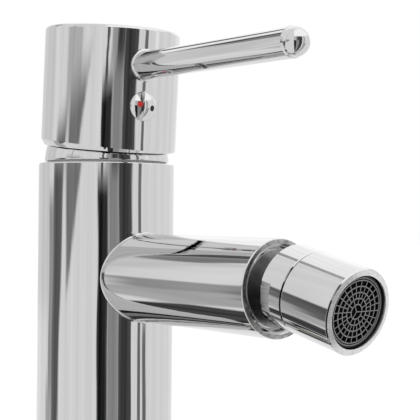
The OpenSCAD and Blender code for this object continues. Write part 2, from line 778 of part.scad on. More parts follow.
// Plastic ring that carries the ball from behind, a zone of a hollow sphere
module rear_ball_seat() color("white") at_aerator() rotate_extrude() intersection() {
  difference() {
    circle(seat_out_r);
    circle(seat_in_r);
  }
  translate([0, -ball_seat_back]) square([collar_r, ball_seat_back + ball_seat_front]);
}

// Middle of the seal ring's section, on the ball's front
module at_seal() { rotate([0, 0, seal_angle]) translate([seal_centre_r, 0]) children(); }

// Plastic seat ahead of the ball, hollowed to fit it
module front_ball_seat() color("white") at_aerator() rotate_extrude() difference() {
  translate([ball_bore_d / 2, front_seat_start])
    square([front_bore_r - bush_fit - ball_bore_d / 2, front_seat_l]);
  circle(seat_in_r);
  at_seal() circle(ball_seal_t / 2 + push_fit);
}

// Rubber ring in the front seat
module ball_seal() color("black") at_aerator() rotate_extrude() at_seal() circle(ball_seal_t / 2);

// Chromed rear collar of the aerator, with a ball seat, spanner flats and a threaded spigot
module swivel_collar() color("silver") at_aerator() difference() {
  rotate_extrude() difference() {
    union() {
      translate([0, -collar_back + collar_chamfer])
        square([collar_r, collar_front + collar_back - collar_chamfer]);
      polygon([[0, -collar_back], [collar_r - collar_chamfer, -collar_back],
               [collar_r, -collar_back + collar_chamfer], [0, -collar_back + collar_chamfer]]);
      square([collar_spigot_r, collar_end]);
    }
    circle(collar_seat_r);
    square([front_bore_r, collar_end + over]);
  }
  for (side = [0, 180]) rotate([0, 0, flat_twist + side])
    translate([collar_r - flat_depth, -collar_r, -collar_back - over])
      cube([collar_r, 2 * collar_r, flat_l + over]);
}

// Chromed barrel of the aerator, screwed on the collar
module aerator_shell() color("silver") at_aerator() difference() {
  round_top(collar_r, collar_front, shell_end, shell_edge);
  rod(shell_bore_r, collar_front - over, basket_step);
  rod(lip_mouth_r, basket_step - over, shell_end + over);
}

// Rubber washer between the ball's seat and the basket
module aerator_washer() color("black") at_aerator()
  tube(shell_bore_r - push_fit, basket_bore_r - basket_wall, washer_start, basket_start);

// Black plastic basket that holds the screens and the grid
module aerator_basket() color("dimgray") at_aerator() difference() {
  union() {
    rod(shell_bore_r - push_fit, basket_start, basket_step);
    rod(basket_r, basket_step, basket_end);
  }
  rod(basket_bore_r, basket_start - over, basket_end);
  rod(grid_r, grid_start, basket_end + over);
}

// Flow regulator: a disc with a ring of holes, at the back of the basket
module flow_regulator() color("seagreen") at_aerator() difference() {
  rod(basket_bore_r - push_fit, basket_start, basket_start + regulator_t);
  for (i = [0 : regulator_holes - 1]) rotate([0, 0, i * 360 / regulator_holes])
    translate([basket_bore_r / 2, 0, 0])
      rod(regulator_hole_d / 2, basket_start - over, basket_step + regulator_t);
}

// Fine screens between the regulator and the grid
module aerator_screens() color("lightgray") at_aerator() for (i = [1 : screen_count])
  rod(basket_bore_r - push_fit, grid_start - i * screen_pitch, grid_start - i * screen_pitch + screen_t);

// Honeycomb face: a rim, a hub, and the rings and spokes between them
module aerator_grid() color("dimgray") at_aerator() {
  rim_r = grid_r - push_fit;
  hub_r = grid_hub_d / 2;
  ring_step = (rim_r - grid_rim - hub_r) / grid_rings;
  tube(hub_r, grid_eye_d / 2, grid_start, basket_end);
  tube(rim_r, rim_r - grid_rim - grid_bar, grid_start, basket_end);
  for (i = [1 : grid_rings - 1])
    tube(hub_r + i * ring_step, hub_r + i * ring_step - grid_bar, grid_start, basket_end);
  for (i = [0 : grid_spokes - 1]) rotate([0, 0, i * 360 / grid_spokes])
    translate([hub_r - grid_bar, -grid_bar / 2, grid_start])
      cube([rim_r - grid_rim / 2 - hub_r, grid_bar, grid_t]);
}

body_column();
spout_tube();
base_gasket();
fixing_stud();
clamp_gasket();
clamp_plate();
clamp_nut();
cartridge_housing();
cartridge_base();
port_seals();
disc_seals();
fixed_disc();
cartridge_nut();
cover_seal();
dome_cover();
ball_nipple();
nipple_washer();
turn_sleeve();
pivot_pin();
disc_carrier();
moving_disc();
control_stem();
handle_cap();
lever_rod();
grub_screw();
indicator_plug();
hot_dot();
cold_dot();
rear_ball_seat();
front_ball_seat();
ball_seal();
swivel_collar();
aerator_shell();
aerator_washer();
aerator_basket();
flow_regulator();
aerator_screens();
aerator_grid();
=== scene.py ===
import math
from functools import partial

import bmesh
import bpy
from mathutils import Matrix, Vector


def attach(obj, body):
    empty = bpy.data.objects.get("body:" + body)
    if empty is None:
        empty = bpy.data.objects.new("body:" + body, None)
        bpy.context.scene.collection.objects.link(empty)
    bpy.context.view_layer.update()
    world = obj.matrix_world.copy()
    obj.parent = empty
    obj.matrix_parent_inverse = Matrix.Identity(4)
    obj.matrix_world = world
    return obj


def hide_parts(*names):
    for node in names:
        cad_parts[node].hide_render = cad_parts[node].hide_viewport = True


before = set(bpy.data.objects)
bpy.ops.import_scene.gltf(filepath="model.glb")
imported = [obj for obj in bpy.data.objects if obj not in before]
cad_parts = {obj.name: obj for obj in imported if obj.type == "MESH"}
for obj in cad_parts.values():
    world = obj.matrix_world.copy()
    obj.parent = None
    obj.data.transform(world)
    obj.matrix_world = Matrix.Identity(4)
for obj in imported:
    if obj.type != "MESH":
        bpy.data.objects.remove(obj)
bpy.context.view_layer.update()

# Camera: it stands where the photograph was taken from, left of the spout and level with the top
# of the column. Its turn, lens and place were fitted to the outlines of the column and the spout.
scene = bpy.context.scene
scene.view_settings.view_transform = "Standard"
pan, pitch, roll = math.radians(40.21), math.radians(0.27), math.radians(0.58)
ahead = Vector((
    math.sin(pan) * math.cos(pitch), math.cos(pan) * math.cos(pitch), math.sin(pitch)
))
level = Vector((math.cos(pan), -math.sin(pan), 0))
plumb = level.cross(ahead)
across = math.cos(roll) * level + math.sin(roll) * plumb
upward = math.cos(roll) * plumb - math.sin(roll) * level


def shown(name, data):
    """Object at the origin, linked into the scene."""
    item = bpy.data.objects.new(name, data)
    scene.collection.objects.link(item)
    return item


camera = shown("camera", bpy.data.cameras.new("camera"))
camera.data.sensor_width = 36
camera.data.lens = 93.15
camera.data.clip_start = 0.01
camera.matrix_world = Matrix((across, upward, -ahead)).transposed().to_4x4()
camera.location = (-0.22219, -0.32009, 0.09022)
scene.camera = camera

# Studio: an even white surround, as on a product table.
# It lights the part at a plain level, at which a colour looks as it is written.
world = bpy.data.worlds.new("white_studio")
scene.world = world
world.use_nodes = True
surround = world.node_tree.nodes["Background"].inputs
surround["Color"].default_value = (1, 1, 1, 1)
surround["Strength"].default_value = 1


# Floor: a sheet of pale paper, just under the end of the fixing stud.
# It is nearly white and takes the part's soft shadow. The metal doesn't show it.
def surface(
    name, light, dark, grain, metal=0, rough=(0.3, 0.4), relief=0, stretch=(1, 1, 1), depth=3
):
    """Material whose colour, gloss and relief follow one noise in the piece's own space.

    The grain is in waves to the metre, and the relief is in micrometres.
    """
    material = bpy.data.materials.new(name)
    material.use_nodes = True
    tree = material.node_tree
    shader = tree.nodes["Principled BSDF"]
    place = tree.nodes.new("ShaderNodeTexCoord")
    turn = tree.nodes.new("ShaderNodeMapping")
    turn.inputs["Scale"].default_value = stretch
    noise = tree.nodes.new("ShaderNodeTexNoise")
    noise.inputs["Scale"].default_value = grain
    noise.inputs["Detail"].default_value = depth
    tint = tree.nodes.new("ShaderNodeValToRGB")
    for stop, position, colour in zip(tint.color_ramp.elements, (0.3, 0.7), (dark, light)):
        stop.position = position
        stop.color = (*colour, 1)
    gloss = tree.nodes.new("ShaderNodeMapRange")
    gloss.inputs["To Min"].default_value, gloss.inputs["To Max"].default_value = rough
    bump = tree.nodes.new("ShaderNodeBump")
    bump.inputs["Strength"].default_value = 1
    bump.inputs["Distance"].default_value = relief / 1e6
    for outlet, inlet in (
        (place.outputs["Object"], turn.inputs["Vector"]),
        (turn.outputs["Vector"], noise.inputs["Vector"]),
        (noise.outputs["Fac"], tint.inputs["Fac"]),
        (noise.outputs["Fac"], gloss.inputs["Value"]),
        (noise.outputs["Fac"], bump.inputs["Height"]),
        (tint.outputs["Color"], shader.inputs["Base Color"]),
        (gloss.outputs["Result"], shader.inputs["Roughness"]),
        (bump.outputs["Normal"], shader.inputs["Normal"]),
    ):
        tree.links.new(outlet, inlet)
    shader.inputs["Metallic"].default_value = metal
    return material


floor_half, floor_z = 4.0, -0.0493
floor_corners = [
    (x * floor_half, y * floor_half, floor_z) for x, y in ((-1, -1), (1, -1), (1, 1), (-1, 1))
]
floor_mesh = bpy.data.meshes.new("paper_floor")
floor_mesh.from_pydata(floor_corners, [], [(0, 1, 2, 3)])
paper = surface(
    "pale_paper", light=(0.98, 0.98, 0.98), dark=(0.96, 0.96, 0.96), grain=40, rough=(0.8, 0.9)
)
paper_look = paper.node_tree.nodes["Principled BSDF"].inputs
paper_look["Emission Color"].default_value = (1, 1, 1, 1)
paper_look["Emission Strength"].default_value = 0.06
floor_mesh.materials.append(paper)
paper_floor = shown("paper_floor", floor_mesh)
paper_floor.visible_glossy = False

# Light tent: a round of white cloth hung with dark flags and bright panels, as is set up round
# chrome. It is seen only in reflections. A bearing of 0 is at the camera and grows to its right.
# The edges of the flags sway a little and the cloth hangs in shallow folds.
tent_centre, tent_r = Vector((0.0, -0.04, 0.08)), 1.0
bearings, heights = 720, 180
flags = [
    # left edge, its slope, right edge, its slope, low, high, soft edge, soft height, tone
    # behind the part
    (-181, 0, -133, 0, 12, 90, 6, 8, 1.27),
    (130, 0, 181, 0, 12, 90, 6, 8, 1.27),
    (-181, 0, -160, 0, -60, 12, 8, 8, 1.0),
    (160, 0, 181, 0, -60, 12, 8, 8, 1.0),
    (-165, 0, -106, 0, -6, 34, 6, 4, 0.85),
    # behind it to the left, high up
    (-157, 0, -146, 0, 33, 46, 3, 3, 0.2),
    (-130, 0, -121, 0, 33, 45, 2, 3, 0.1),
    (-121, 0, -112, 0, 30, 42, 2, 3, 0.3),
    # behind it to the left, low down
    (-152, 0, -126, 0, -34, -24, 4, 3, 0.45),
    (-112, 0, -92, 0, -31, -11, 4, 3, 0.58),
    (-131, 0, -110, 0, -46, -31, 3, 2, 0.08),
    (-160, 0, -140, 0, -47, -35, 3, 3, 0.2),
    # to the left
    (-76, 0, -48, 0, 4, 13, 8, 6, 0.65),
    (-66, 0, -50, 3, -6, 6, 6, 5, 0.25),
    (-105, 0, -93, 0, -12, 2, 4, 3, 0.42),
    (-94, 0.2, -74, 0.6, -20, 5, 5, 4, 0.15),
    (-65, 0, -62.5, 0, 7, 60, 1, 3, 0.6),
    # at the camera and to its right
    (-10, 0, 8, 0, -90, 3.5, 2, 3, 0.03),
    (-5, 0, -1, 0, 3, 60, 1, 2, 0.15),
    (8, 0, 26, 0, -90, 6, 5, 3, 0.36),
    (3, 0, 14, 0, 4, 30, 4, 3, 0.45),
    (13, 0, 26, 0, 4, 30, 4, 3, 0.07),
    (26, 0, 49, 0, -90, 30, 3, 4, 0.07),
    # farther right, and a bright panel overhead
    (61, 0, 67, 0, -90, 30, 2, 4, 0.2),
    (71, 0, 78, 0, -90, -7, 2, 3, 0.2),
    (83, 0, 88, 0, 5, 30, 2, 2, 1.2),
    (-10, 0, 120, 0, 30, 80, 10, 6, 1.4),
]
edge_waves = ((0.8, 0.55, 0), (0.5, 0.23, 1))  # width, pace with height, start
fold_waves = ((0.6, 0.31, 0.06, 0), (0.4, 0.83, -0.04, 2))  # size, pace round, pace up, start
fold_dark, fold_light, darkest = 0.03, 0.02, 0.01


def ease(value, low, high, edge):
    """One inside a span, nought outside it, with a soft edge."""
    rise = min(max((value - low) / edge + 0.5, 0), 1)
    fall = min(max((high - value) / edge + 0.5, 0), 1)
    return rise * rise * (3 - 2 * rise) * fall * fall * (3 - 2 * fall)


tent_points, tent_faces, tent_tones = [], [], []
for row in range(heights + 1):
    height = -90 + 180 * row / heights
    climb = math.radians(height)
    sway = sum(width * math.sin(pace * height + start) for width, pace, start in edge_waves)
    hung = []
    for left, left_slope, right, right_slope, low, high, edge, lift, flag_tone in flags:
        share = ease(height, low, high, lift)
        if share:
            left_at, right_at = left + left_slope * height, right + right_slope * height
            hung.append((left_at, right_at, edge, share, flag_tone))
    for col in range(bearings):
        bearing = -180 + 360 * col / bearings
        turn = math.radians(bearing)
        out = level * math.sin(turn) - ahead * math.cos(turn)
        out.z = 0
        spot = out.normalized() * math.cos(climb) + Vector((0, 0, math.sin(climb)))
        tent_points.append(tent_centre + tent_r * spot)
        tone = 1
        for left_at, right_at, edge, share, flag_tone in hung:
            tone += (flag_tone - tone) * ease(bearing + sway, left_at, right_at, edge) * share
        fold = sum(
            wave * math.sin(round_pace * bearing + up_pace * height + start)
            for wave, round_pace, up_pace, start in fold_waves
        )
        tent_tones.append(max(tone + fold * (fold_dark + fold_light * tone), darkest))
        if row < heights:
            here, beside = row * bearings + col, row * bearings + (col + 1) % bearings
            tent_faces.append((here, here + bearings, beside + bearings, beside))
tent_mesh = bpy.data.meshes.new("light_tent")
tent_mesh.from_pydata(tent_points, [], tent_faces)
tone_layer = tent_mesh.attributes.new("tone", "FLOAT", "POINT")
tone_layer.data.foreach_set("value", tent_tones)
cloth = bpy.data.materials.new("tent_cloth")
cloth.use_nodes = True
weave = cloth.node_tree
weave.nodes.clear()
tone_node = weave.nodes.new("ShaderNodeAttribute")
tone_node.attribute_name = "tone"
glow = weave.nodes.new("ShaderNodeEmission")
cloth_out = weave.nodes.new("ShaderNodeOutputMaterial")
weave.links.new(tone_node.outputs["Fac"], glow.inputs["Strength"])
weave.links.new(glow.outputs["Emission"], cloth_out.inputs["Surface"])
tent_mesh.materials.append(cloth)
light_tent = shown("light_tent", tent_mesh)
light_tent.visible_camera = False
light_tent.visible_diffuse = False
light_tent.visible_transmission = False
light_tent.visible_shadow = False

# Column: a turned brass cylinder, polished and chromed outside and left bare in its hollow foot.
# The hose inlets and the stud's hole are drilled up from the hollow, and the cartridge drops into
# the seat at the top. Its sizes, and those of every piece after it, are in millimetres.
mm = 0.001


def soften(corners, steps=6, beside=0.03):
    """Section through corners (radius, height, rounding), with a support point beside each arc."""
    section = []
    for index, (r, z, rounding) in enumerate(corners):
        here = Vector((r, z))
        if rounding == 0 or index in (0, len(corners) - 1):
            section.append((r, z))
            continue
        back = (Vector(corners[index - 1][:2]) - here).normalized()
        on = (Vector(corners[index + 1][:2]) - here).normalized()
        half = back.angle(on) / 2
        reach = rounding / math.tan(half)
        middle = here + (back + on).normalized() * rounding / math.sin(half)
        first, last = here + back * reach - middle, here + on * reach - middle
        section.append(tuple(here + back * (reach + beside)))
        for step in range(steps + 1):
            section.append(tuple(middle + rounding * first.slerp(last, step / steps)))
        section.append(tuple(here + on * (reach + beside)))
    return section


def turned(section, sides=256):
    """Rings of a section turned about the local Z axis."""
    angles = [2 * math.pi * side / sides for side in range(sides)]
    return [[Vector((r * math.cos(a), r * math.sin(a), z)) for a in angles] for r, z in section]


def weld(mesh):
    """Joins doubled points and turns the faces outwards."""
    shape = bmesh.new()
    shape.from_mesh(mesh)
    bmesh.ops.remove_doubles(shape, verts=shape.verts, dist=1e-7)
    bmesh.ops.recalc_face_normals(shape, faces=shape.faces)
    shape.to_mesh(mesh)
    shape.free()


def shade(mesh, crease):
    """Smooth shading, with the edges past the crease angle kept sharp."""
    mesh.shade_smooth()
    mesh.set_sharp_from_angle(angle=math.radians(crease))


def skin(name, rings, place=Matrix(), loop=False, crease=30):
    """Closed mesh over rings of points in millimetres, set in its place in metres."""
    sides = len(rings[0])
    points = [place @ point * mm for ring in rings for point in ring]
    faces = []
    for row in range(len(rings) if loop else len(rings) - 1):
        low, high = row * sides, (row + 1) % len(rings) * sides
        for side in range(sides):
            beside = (side + 1) % sides
            faces.append((low + side, low + beside, high + beside, high + side))
    if not loop:
        faces += [tuple(range(sides)), tuple(range(len(points) - sides, len(points)))]
    mesh = bpy.data.meshes.new(name)
    mesh.from_pydata(points, [], faces)
    weld(mesh)
    shade(mesh, crease)
    return shown(name, mesh)


def evaluated_mesh(piece):
    """Plain mesh of an object with its modifiers applied."""
    return bpy.data.meshes.new_from_object(
        piece.evaluated_get(bpy.context.evaluated_depsgraph_get())
    )


def fit(piece, body, node, slot, *materials):
    """Gives a piece its finishes and its body, and hides the solid that it stands for."""
    for material in materials:
        piece.data.materials.append(material)
    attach(piece, body)
    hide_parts(node)


def turn_x(degrees):
    return Matrix.Rotation(math.radians(degrees), 4, "X")


def turn_z(degrees):
    return Matrix.Rotation(math.radians(degrees), 4, "Z")


def move(x, y, z):
    return Matrix.Translation((x, y, z))


def chromed(name, grain, relief, stretch=(1, 1, 1)):
    """Bright chrome plate over polishing marks of one grain and direction."""
    return surface(
        name, light=(0.635, 0.635, 0.635), dark=(0.6, 0.6, 0.602), grain=grain, metal=1,
        rough=(0.03, 0.05), relief=relief, stretch=stretch,
    )


chrome = chromed("polished_chrome", grain=35, relief=4)
streaked_chrome = chromed("streaked_chrome", grain=350, relief=30, stretch=(1, 1, 0.02))
raw_brass = surface(
    "raw_brass", light=(0.55, 0.42, 0.2), dark=(0.42, 0.31, 0.14), grain=260, metal=1,
    rough=(0.3, 0.5), relief=20,
)
column_r, column_h, column_edge, foot_edge = 24.0, 108.0, 0.6, 0.3
hollow_r, hollow_h, hollow_edge, core_r = 20.5, 40.0, 0.8, 12.0
seat_r, seat_low, thread_r, thread_low = 17.6, 78.0, 19.05, 100.0
groove_out, groove_in, groove_h = 23.05, 21.45, 2.0
inlet_r, inlet_x, inlet_y, inlet_top = 4.5, 8.3, -2.5, 52.0
stud_y, stud_hole_r, stud_hole_top = 15.5, 4.0, 54.0
drill_low, drill_sides = hollow_h - 5, 48
bare_r, bare_top = hollow_r + 0.4, column_h - 0.1
column_section = soften([
    (seat_r, seat_low, 0), (seat_r, thread_low, 0), (thread_r, thread_low, 0),
    (thread_r, column_h, 0), (column_r, column_h, column_edge), (column_r, 0, foot_edge),
    (groove_out, 0, 0), (groove_out, groove_h, 0), (groove_in, groove_h, 0), (groove_in, 0, 0),
    (hollow_r, 0, foot_edge), (hollow_r, hollow_h, hollow_edge), (core_r, hollow_h, 0),
])
column = skin("column", turned(column_section))
drills = [
    skin("drill", turned([(r, drill_low), (r, top)], drill_sides), move(x, y, 0))
    for r, x, y, top in (
        (inlet_r, -inlet_x, inlet_y, inlet_top),
        (inlet_r, inlet_x, inlet_y, inlet_top),
        (stud_hole_r, 0, stud_y, stud_hole_top),
    )
]
for drill in drills:
    cut = column.modifiers.new("drill", "BOOLEAN")
    cut.object = drill
    cut.solver = "EXACT"
drilled = evaluated_mesh(column)
column.modifiers.clear()
column.data = drilled
for drill in drills:
    bpy.data.objects.remove(drill)
drilled.name = "column"
shade(drilled, 30)
fit(column, "column", "body_column", "chrome", streaked_chrome, raw_brass)
for face in drilled.polygons:
    middle = face.center / mm
    bare = math.hypot(middle.x, middle.y) < bare_r and middle.z < bare_top
    face.material_index = 1 if bare else 0


# Spout: a brass tube brazed to the column, with a small fillet round its root, chromed with it.
# Its end is faced flat and bored for the nipple, with a shallow bevel inside the lip.
def rooted(origin, along, side, over, r, host_r, fillet, sides=256, steps=8):
    """Rings of the fillet between a round bar and the upright post that it is on, post first."""
    rings = [[] for _ in range(steps + 1)]
    post_axis = Vector((0, 0, 1))
    for index in range(sides):
        angle = 2 * math.pi * index / sides
        spoke = math.cos(angle) * side + math.sin(angle) * over
        start = origin + (r + fillet) * spoke
        flat = start - start.dot(post_axis) * post_axis
        run = along - along.dot(post_axis) * post_axis
        a, b, c = run.dot(run), flat.dot(run), flat.dot(flat) - (host_r + fillet) ** 2
        centre = start + along * (-b + math.sqrt(b * b - a * c)) / a
        to_post = (centre.dot(post_axis) * post_axis - centre).normalized()
        for step in range(steps + 1):
            rings[step].append(centre + fillet * to_post.slerp(-spoke, step / steps))
    return rings


def placed(rings, place):
    """Rings of points set in their place."""
    return [[place @ point for point in ring] for ring in rings]


drawn_chrome = chromed("drawn_chrome", grain=420, relief=20, stretch=(1, 0.02, 1))
faced_chrome = surface(
    "faced_chrome", light=(0.5, 0.5, 0.5), dark=(0.2, 0.2, 0.2), grain=700, metal=1,
    rough=(0.22, 0.36), relief=3, depth=6,
)
spout_z, spout_r, spout_end, spout_fillet = 68.7, 14.9, 89.45, 0.7
spout_way, spout_side, up = Vector((0, -1, 0)), Vector((1, 0, 0)), Vector((0, 0, 1))
face_in_r, bevel_r, bevel_depth = 13.5, 12.7, 0.3
spout_edge, face_edge, bevel_edge = 0.4, 0.05, 0.1
recess_r, recess_low = 12.6, spout_end - 3.2
outlet_r, outlet_low, tube_r, tube_low = 12.0, 76.75, 10.0, 32.0
spigot_r, spigot_low, spigot_high = 7.0, 14.0, 23.0
bar_start, root_support = 40.0, 0.05
face_at = (spout_end - 0.12) * mm
spout_place = move(0, 0, spout_z) @ turn_x(90)
spout_root = rooted(
    Vector((0, 0, spout_z)), spout_way, spout_side, up, spout_r, column_r, spout_fillet
)
spout_section = soften([
    (spout_r, bar_start, 0), (spout_r, spout_end, spout_edge), (face_in_r, spout_end, face_edge),
    (bevel_r, spout_end - bevel_depth, bevel_edge), (recess_r, recess_low, 0),
    (outlet_r, recess_low, 0), (outlet_r, outlet_low, 0), (tube_r, outlet_low, 0),
    (tube_r, tube_low, 0),
])
spout_rings = placed(turned([(spigot_r, spigot_low), (spigot_r, spigot_high)]), spout_place)
spout_rings += spout_root + [[point + spout_way * root_support for point in spout_root[-1]]]
spout_rings += placed(turned(spout_section), spout_place)
spout = skin("spout", spout_rings)
fit(spout, "column", "spout_tube", "chrome", drawn_chrome, faced_chrome)
for face in spout.data.polygons:
    on_end = face.normal.y < -0.9 and -face.center.y > face_at
    face.material_index = 1 if on_end else 0


# Cover: a chromed brass dome, screwed over the cartridge nut that it hides.
# Its rim stands on a thin seal on top of the column, pale as a painted highlight along the joint.
def arc(r, start, end, steps, at=0.0):
    """Section of a ball between two latitudes in radians, about a height on the axis."""
    angles = [start + (end - start) * step / steps for step in range(steps + 1)]
    return [(r * math.cos(angle), at + r * math.sin(angle)) for angle in angles]


dome_r, dome_inner, dome_low, dome_high, dome_step = 22.0, 20.5, 0.6, 13.0, 4.5
rim_edge, rim_in, rim_cut = 0.3, 0.28, 0.09
rim_angle = math.asin(dome_low / dome_r) + rim_edge / dome_r
rim_r = dome_r * math.cos(rim_angle)
dome_section = [
    (thread_r, dome_low), (rim_r - rim_in, dome_low), (rim_r - rim_cut, dome_low + rim_cut)
]
dome_section += arc(dome_r, rim_angle, math.asin(dome_high / dome_r), 32)
dome_section += arc(
    dome_inner, math.asin(dome_high / dome_inner), math.asin(dome_step / dome_inner), 16
)
dome_section.append((thread_r, dome_step))
dome = skin("dome_cover_skin", turned(dome_section), move(0, 0, column_h), loop=True)
fit(dome, "column", "dome_cover", "chrome", chrome)

# Handle cap: a cast zinc cup, chromed, held on the cartridge's stem by a set screw.
# It leans a little towards the lever. Its lower rim is cut on a slope and chamfered, most behind.
handle_turn, handle_lean, cap_shift = -6.6, 4.0, 0.63
cap_place = move(0, 0, column_h) @ turn_z(handle_turn) @ turn_x(handle_lean)
cap_place = cap_place @ move(0, -cap_shift, 0)
cap_r, cap_bore, cap_top, cap_edge, cap_roof, cap_inner_edge = 23.8, 22.3, 47.16, 1.3, 2.5, 1.0
hub_r, hub_low, bore_low, wall_low = 8.5, 13.0, 20.0, 30.0
cap_sides, top_ring_r = 256, 4.0
rim_h, rim_slope = 5.66, math.tan(math.radians(2.5))
chamfer_w, chamfer_w_swing, chamfer_w_way = 0.9, 0.42, math.radians(125)
chamfer_h, chamfer_h_swing, chamfer_h_way = 1.25, 0.85, math.radians(150)


def rim_ring(r, cut, lift):
    """Ring of the cap's wall along its sloped rim, cut in and lifted by shares of the chamfer."""
    ring = []
    for side in range(cap_sides):
        angle = 2 * math.pi * side / cap_sides
        reach = r - cut * (chamfer_w + chamfer_w_swing * math.cos(angle - chamfer_w_way))
        rise = lift * (chamfer_h + chamfer_h_swing * math.cos(angle - chamfer_h_way))
        z = rim_h + rim_slope * r * math.sin(angle) + rise
        ring.append(Vector((reach * math.cos(angle), reach * math.sin(angle), z)))
    return ring


cap_ceiling = cap_top - cap_roof
cap_rings = turned(soften([
    (hub_r, hub_low, 0), (hub_r, cap_ceiling, cap_inner_edge),
    (cap_bore, cap_ceiling, cap_inner_edge), (cap_bore, bore_low, 0),
]), cap_sides)
cap_rings += [rim_ring(cap_bore, 0, 0), rim_ring(cap_r, 1, 0)]
cap_rings += [rim_ring(cap_r, 0, 1), rim_ring(cap_r, 0, 1.05)]
cap_rings += turned(
    soften([(cap_r, wall_low, 0), (cap_r, cap_top, cap_edge), (top_ring_r, cap_top, 0)]), cap_sides
)
cap = skin("handle_cap_skin", cap_rings, cap_place)
fit(cap, "handle", "handle_cap", "chrome", streaked_chrome)

# Lever: a turned and chromed brass pin, screwed into a boss of the cap.
# Its root flares into the cap, and its end is a small dome behind a fine bevel.
lever_r, lever_h, lever_rise, lever_flare, lever_sides = 4.6, 33.16, 2.4, 1.1, 128
lever_end, tip_bevel, tip_bevel_l, tip_step, tip_pole = 104.4, 0.3, 0.75, 0.02, 0.02
lever_spigot_r, lever_spigot_low, lever_spigot_high = 3.95, 13.8, 22.6
rod_start, tip_support = 40.0, 0.1
lever_place = move(0, 0, lever_h) @ turn_x(90 - lever_rise)
lever_side, lever_over, lever_way = (lever_place.to_3x3() @ axis for axis in Matrix.Identity(3))
lever_root = rooted(
    Vector((0, 0, lever_h)), lever_way, lever_side, lever_over, lever_r, cap_r, lever_flare,
    lever_sides,
)
tip_r, tip_at = lever_r - tip_bevel, lever_end + tip_bevel_l
lever_section = [
    (lever_r, rod_start), (lever_r, lever_end - tip_support), (lever_r, lever_end),
    (tip_r + tip_step, tip_at),
]
lever_section += arc(tip_r, 0, math.pi / 2, 25, tip_at)[1:-1] + [(tip_pole, tip_at + tip_r)]
lever_rings = placed(
    turned([(lever_spigot_r, lever_spigot_low), (lever_spigot_r, lever_spigot_high)], lever_sides),
    lever_place,
)
lever_rings += lever_root + [[point + lever_way * root_support for point in lever_root[-1]]]
lever_rings += placed(turned(lever_section, lever_sides), lever_place)
lever = skin("lever_skin", lever_rings, cap_place, crease=8)
fit(lever, "handle", "lever_rod", "chrome", chrome)


# Indicator plug: a chromed plastic button pushed into the cap over the set screw.
# Its two dots, red for hot and dark blue for cold, are enamel fills that stand a little proud.
def crown(r, ball_r, at, steps, pole, proud=0.0):
    """Section of a shallow dome from its rim to its pole."""
    angles = [math.asin(r / ball_r) * (1 - step / steps) for step in range(steps + 1)]
    return [
        (max(ball_r * math.sin(angle), pole), at + (ball_r + proud) * math.cos(angle))
        for angle in angles
    ]


plug_r, plug_dome, plug_h, plug_spigot_r, plug_seat = 5.0, 2.2, 20.46, 3.4, 22.9
plug_spigot_low, plug_spigot_high = 18.8, 22.6
plug_ball = (plug_r * plug_r + plug_dome * plug_dome) / (2 * plug_dome)
plug_centre = cap_r + plug_dome - plug_ball
plug_place = cap_place @ move(0, 0, plug_h) @ turn_x(90)
plug_section = [
    (plug_spigot_r, plug_spigot_low), (plug_spigot_r, plug_spigot_high), (plug_r, plug_seat),
    (plug_r, cap_r),
]
plug_section += crown(plug_r, plug_ball, plug_centre, steps=24, pole=0.02)[1:]
plug = skin("plug_skin", turned(plug_section, sides=96), plug_place, crease=50)
fit(plug, "handle", "indicator_plug", "chrome", chrome)
dot_r, dot_depth, dot_proud, dot_angle, plug_twist = 1.0, 0.4, 0.04, 21, -14
dot_section = [(dot_r, plug_ball - dot_depth)]
dot_section += crown(dot_r, plug_ball, 0, steps=8, pole=0.005, proud=dot_proud)
for side, name, node, slot, light, dark in (
    (-1, "hot_dot_fill", "hot_dot", "red_enamel", (0.55, 0.03, 0.035), (0.45, 0.02, 0.025)),
    (1, "cold_dot_fill", "cold_dot", "blue_enamel", (0.006, 0.008, 0.02), (0.004, 0.005, 0.012)),
):
    dot_place = plug_place @ turn_z(plug_twist) @ move(0, 0, plug_centre)
    dot_place = dot_place @ Matrix.Rotation(math.radians(side * dot_angle), 4, "Y")
    dot = skin(name, turned(dot_section, sides=48), dot_place)
    paint = surface(node + "_paint", light, dark, grain=900, rough=(0.3, 0.45), relief=20)
    paint.node_tree.nodes["Principled BSDF"].inputs["Specular IOR Level"].default_value = 0.2
    fit(dot, "handle", node, slot, paint)

# Ball nipple: a plated brass fitting screwed into the spout's end on a washer.
# It has a satin flange with a bright bevel, a neck, and the ball that the aerator swivels on.
# Apart from its bevel, the nipple's plate is painted far darker than chrome, as painted shade of
# the recess behind the collar.
satin_nickel_painted_shade = surface(
    "satin_nickel_painted_shade", light=(0.34, 0.34, 0.34), dark=(0.24, 0.24, 0.24), grain=500, metal=1,
    rough=(0.26, 0.36), relief=2,
)
ball_r, ball_at, ball_back, ball_front = 9.5, 99.93, math.radians(-56), math.radians(70)
waterway_r, waterway_low, nipple_bore_r, nipple_bore_high = 3.2, ball_at, 8.5, 82.75
nipple_thread_r, nipple_back = 11.95, 78.25
flange_r, flange_back, flange_front, flange_bevel = 12.5, 86.25, 87.85, 1.0
flange_edge, flange_front_edge = 0.1, 0.2
neck_r, neck_fillet, neck_end, mouth_at = 5.0, 1.5, ball_at - 8.3, ball_at + 8.0
nipple_section = soften([
    (nipple_bore_r, nipple_bore_high, 0), (nipple_bore_r, nipple_back, 0),
    (nipple_thread_r, nipple_back, 0), (nipple_thread_r, flange_back, 0),
    (flange_r, flange_back, 0), (flange_r, flange_front - flange_bevel, flange_edge),
    (flange_r - flange_bevel, flange_front, flange_front_edge),
    (neck_r, flange_front, neck_fillet), (neck_r, neck_end, 0),
])
nipple_section += arc(ball_r, ball_back, ball_front, 48, ball_at)
nipple_section += [(waterway_r, mouth_at), (waterway_r, waterway_low)]
nipple = skin("nipple_skin", turned(nipple_section, sides=128), spout_place, crease=25)
fit(nipple, "column", "ball_nipple", "chrome", satin_nickel_painted_shade, chrome)
bevel_from, bevel_to = 86.7 * mm, 88.1 * mm
for face in nipple.data.polygons:
    on_bevel = -0.95 < face.normal.y < -0.45 and bevel_from < -face.center.y < bevel_to
    face.material_index = 1 if on_bevel else 0

